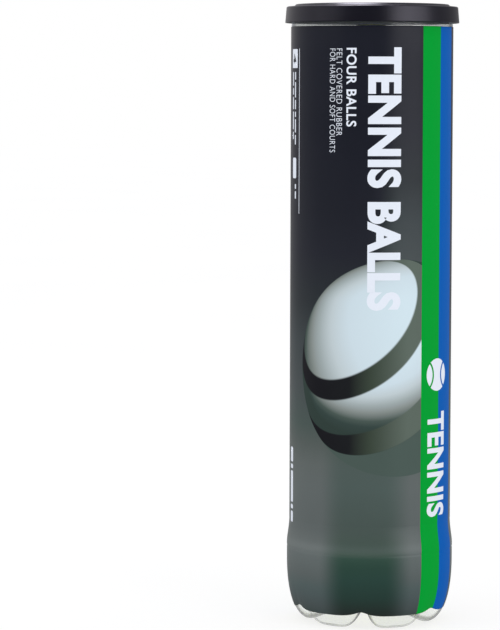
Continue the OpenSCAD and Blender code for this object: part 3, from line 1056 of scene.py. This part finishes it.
def make_felt_panel(i, flip, mat, centre, radius, turn):
    """One felt panel: a thick dog-bone shell with rounded edges and a fluffy outside."""
    edge, core = math.atan(SEAM_W / 2 / radius), radius - FELT_THICK
    flat, tips = panel_grid(edge)
    inset = edge_distance(flat, edge, radius)
    drop = EDGE_DROP * (1 - np.clip(inset / EDGE_WIDTH, 0, 1)) ** 2.2
    rise = np.array([fluff(v * radius, i + (10 if flip else 0)) for v in flat])
    soft = np.clip(inset / 0.8, 0.25, 1)
    outer = flat * (radius - FELT_SINK - drop + NAP * rise * soft)[:, None]
    tops = [tip * (radius - FELT_SINK - EDGE_DROP) for tip in tips]
    points = [*outer, *tops, *(flat * core), *(tip * core for tip in tips)]
    tip_a, tip_b, half = len(flat), len(flat) + 1, len(flat) + 2
    rows, count = PANEL_ALONG - 1, PANEL_ACROSS + 1
    end = (rows - 1) * count
    faces = []
    for shift in (0, half):
        faces += grid_faces(rows, count, closed=False, start=shift, flip=shift > 0)
        for m in range(PANEL_ACROSS):
            faces.append((shift + tip_a, shift + m + 1, shift + m))
            faces.append((shift + tip_b, shift + end + m, shift + end + m + 1))
    loop = [tip_a, *(j * count for j in range(rows)), tip_b]
    loop += [j * count + PANEL_ACROSS for j in range(rows - 1, -1, -1)]
    for a, b in zip(loop, loop[1:] + loop[:1], strict=True):
        faces.append((a, b, b + half, a + half))
    move = turn @ Matrix.Rotation(math.pi if flip else 0, 3, "X")
    points = [tuple(move @ Vector(q) + Vector(centre)) for q in points]
    name = f"felt_{i}{'b' if flip else 'a'}"
    felt_piece = add_piece(name, points, faces, f"ball_{i}", [mat])
    face_outward(felt_piece)
    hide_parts(f"ball_{i}_felt_{'b' if flip else 'a'}")


def make_seam(i, mat, centre, radius, turn):
    """Rubber seam: a closed ribbon with a rounded top that fills the gap between panels."""
    p, inward = seam_points(np.radians(np.linspace(0, 360, SEAM_STEPS + 1)[:-1]))
    half, core = math.atan(SEAM_W / 2 / radius), radius - FELT_THICK
    section = []
    for s in np.linspace(-1, 1, CROWN_POINTS):
        crown = SEAM_CROWN * math.sqrt(max(0.0, 1 - 0.8 * s * s))
        section.append((s * half, radius - SEAM_SINK + crown))
    section += [(half, core), (-half, core)]
    points = []
    for j in range(SEAM_STEPS):
        wobble = SEAM_WOBBLE * noise.noise(Vector(p[j]) * 9 + Vector((i, 0, 0)))
        for m, (a, r) in enumerate(section):
            v = math.cos(a) * p[j] + math.sin(a) * inward[j]
            points.append(v * (r + (wobble if m < CROWN_POINTS else 0)))
    wide = len(section)
    faces = [(j * wide + m, j * wide + (m + 1) % wide,
              (j + 1) % SEAM_STEPS * wide + (m + 1) % wide, (j + 1) % SEAM_STEPS * wide + m)
             for j in range(SEAM_STEPS) for m in range(wide)]
    points = [tuple(turn @ Vector(q) + Vector(centre)) for q in points]
    seam = add_piece(f"seam_{i}", points, faces, f"ball_{i}", [mat])
    face_outward(seam)
    shade_by_angle(seam, 50)
    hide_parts(f"ball_{i}_seam")


def make_balls(felt_mat, seam_mat, core_mat):
    for i, turns in enumerate(BALL_TURNS, 1):
        centre, radius = ball_place(i)
        turn = Euler([math.radians(a) for a in turns], "XYZ").to_matrix()
        for flip in (False, True):
            make_felt_panel(i, flip, felt_mat, centre, radius, turn)
        make_seam(i, seam_mat, centre, radius, turn)
        for half in "ab":
            paint(f"ball_{i}_core_{half}", core_mat)


# ---------------------------------------------------------------- studio

# The studio is laid out in metres; the sensor's width is in millimetres
CAMERA_D, CAMERA_Z = 1.42, 0.244
SENSOR = 36
IMAGE_HEIGHT_PX = 630
FOCAL_PX = 3079
AIM_Z = 0.141
AXIS_OFFSET_PX = 120.9
ROLL = math.radians(0.16)


def make_camera():
    data = bpy.data.cameras.new("camera")
    data.sensor_width = SENSOR
    data.lens = SENSOR * FOCAL_PX / IMAGE_HEIGHT_PX
    data.clip_start = 0.01
    data.clip_end = 60
    camera = link_object("camera", data)
    pan = math.atan(AXIS_OFFSET_PX / FOCAL_PX)
    tilt = math.atan((AIM_Z - CAMERA_Z) / CAMERA_D)
    camera.location = (0, -CAMERA_D, CAMERA_Z)
    camera.rotation_euler = (math.pi / 2 + tilt, 0, pan)
    # A slight roll keeps the can upright although it stands right of the picture's middle
    camera.rotation_euler.rotate_axis("Z", ROLL)
    bpy.context.scene.camera = camera


def area_light(name, azimuth, height, distance, size, power):
    """Soft box that faces the can, at an azimuth from the front."""
    data = bpy.data.lights.new(name, "AREA")
    data.shape = "RECTANGLE"
    data.size, data.size_y = size
    data.energy = power
    data.specular_factor = 0.0
    light = link_object(name, data)
    a = math.radians(azimuth)
    spot = Vector((distance * math.sin(a), -distance * math.cos(a), height))
    light.location = spot
    aim = Vector((0, 0, 0.14)) - spot
    light.rotation_euler = aim.to_track_quat("-Z", "Y").to_euler()


# What shiny surfaces see of the studio: a dark front, pale sides and back, a soft ceiling,
# one tall soft box to the right of the camera and a bright panel overhead, a little in front
LEFT_GLOW, RIGHT_GLOW = 0.64, 0.26
CEILING_GLOW = 0.5
BOX_GLOW = 5.8
BOX_AZIMUTH = 54.0
OVERHEAD_GLOW = 24.0
OVERHEAD = Vector((-0.25, -0.3, 0.92)).normalized()


def make_world():
    """White to the eye, even white for soft light and a shaped studio for reflections."""
    world = bpy.data.worlds.new("studio")
    bpy.context.scene.world = world
    n = Nodes(world, "OutputWorld")
    direction = n.add("TexCoord").outputs["Generated"]
    x, y, z = n.split(direction)
    flat = n.length(x, y)
    box = math.radians(BOX_AZIMUTH)
    toward = n.math("ADD", n.math("MULTIPLY", x, math.sin(box)),
                    n.math("MULTIPLY", y, -math.cos(box)))
    back, right, toward = (n.math("DIVIDE", v, flat) for v in (y, x, toward))
    side_glow = n.math("MULTIPLY_ADD", n.smooth(right, -0.7, 0.7), RIGHT_GLOW - LEFT_GLOW,
                       LEFT_GLOW)
    sides = n.math("MULTIPLY", n.smooth(back, -0.6, 0.1), side_glow)
    low_sides = n.math("ADD", n.smooth(n.math("MULTIPLY", z, -1.0), 0.1, 0.5), 1.0)
    ceiling = n.math("MULTIPLY", n.smooth(z, 0.1, 0.8), CEILING_GLOW)
    tall = n.math("SUBTRACT", n.smooth(z, -0.7, -0.2), n.smooth(z, 0.06, 0.24))
    soft_box = n.math("MULTIPLY", n.math("MULTIPLY", n.smooth(toward, 0.84, 0.99), tall), BOX_GLOW)
    above = n.smooth(n.vector("DOT_PRODUCT", direction, OVERHEAD), 0.91, 0.985)
    lamps = n.math("MULTIPLY_ADD", above, OVERHEAD_GLOW, soft_box)
    glow = n.math("ADD", n.math("MULTIPLY_ADD", sides, low_sides, ceiling), lamps)

    def background(colour, strength):
        node = n.add("Background")
        n.feed(node.inputs["Color"], colour)
        n.feed(node.inputs["Strength"], strength)
        return node

    room, soft = background((1.0, 0.98, 1.0), glow), background((1.0, 1.0, 1.0), 1.0)
    n.finish(n.mix_shaders(n.add("LightPath").outputs["Is Glossy Ray"], soft, room))


# Glow of the floor to the eye, and in reflections from its front to its back
FLOOR_GLOW = 0.79
FLOOR_NEAR, FLOOR_FAR = 0.04, 0.34
FLOOR_REACH = 12.0


def make_floor():
    """Pale sweep that stays quiet in reflections."""
    mesh = bpy.data.meshes.new("floor")
    s = FLOOR_REACH
    mesh.from_pydata([(-s, -s, 0), (s, -s, 0), (s, s, 0), (-s, s, 0)], [], [(0, 1, 2, 3)])
    n = new_material("floor")
    colour = n.mix(n.noise(scale=3), (0.2, 0.2, 0.205), (0.22, 0.22, 0.22))
    pale = n.principled(colour, 0.9, Emission_Color=(1.0, 1.0, 1.0),
                        Emission_Strength=FLOOR_GLOW, Specular_IOR_Level=0.0)
    quiet = n.add("Emission")
    behind = n.smooth(n.split()["Y"], -0.3, 0.3)
    n.join(n.math("MULTIPLY_ADD", behind, FLOOR_FAR - FLOOR_NEAR, FLOOR_NEAR),
           quiet.inputs["Strength"])
    glossy = n.add("LightPath").outputs["Is Glossy Ray"]
    mesh.materials.append(n.finish(n.mix_shaders(glossy, pale, quiet)))
    floor = link_object("floor", mesh)


def make_studio():
    make_camera()
    make_world()
    make_floor()
    area_light("key", 40, 0.9, 1.6, (1.0, 1.0), 4.0)
    area_light("fill", -60, 0.8, 1.7, (1.2, 1.0), 2.5)
    view = bpy.context.scene.view_settings
    view.view_transform = "Standard"
    view.look = "None"


# ---------------------------------------------------------------- build

make_studio()

film_mats = [printed_film(), ink("green_ink", "009832", "008c2e", STRIPE_GLOSS),
             ink("blue_ink", "0058ad", "0050a0", STRIPE_GLOSS)]
white_ink = ink("white_ink", "dde3ee", "cfd5e1")
dark_ink = ink("dark_ink", "1c1d26", "14151c")

bottle = make_bottle(clear_plastic())
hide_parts("can_body")
sleeve = make_sleeve(film_mats)
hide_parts("sleeve")
for front_angle in FRONTS:
    make_art(art_ink(front_angle), front_angle)
    make_print(white_ink, front_angle)
    make_number(dark_ink, front_angle)
make_lid(lid_plastic())
metal = end_metal("end_metal", "c9ccd0", 0.26)
tab_metal = end_metal("tab_metal", "d5d7da", 0.22)
for node_name in ("seam_ring", "tear_panel"):
    paint(node_name, metal)
for node_name in ("tab_tongue", "pull_tab"):
    paint(node_name, tab_metal)
paint("sealing_compound", rubber("compound", "5a5c5e", "484a4c", 0.6))
make_balls(felt(), rubber("seam_rubber", "eceadb", "d9d7c4", 0.7),
           rubber("core_rubber", "4a4038", "352d27", 0.8))
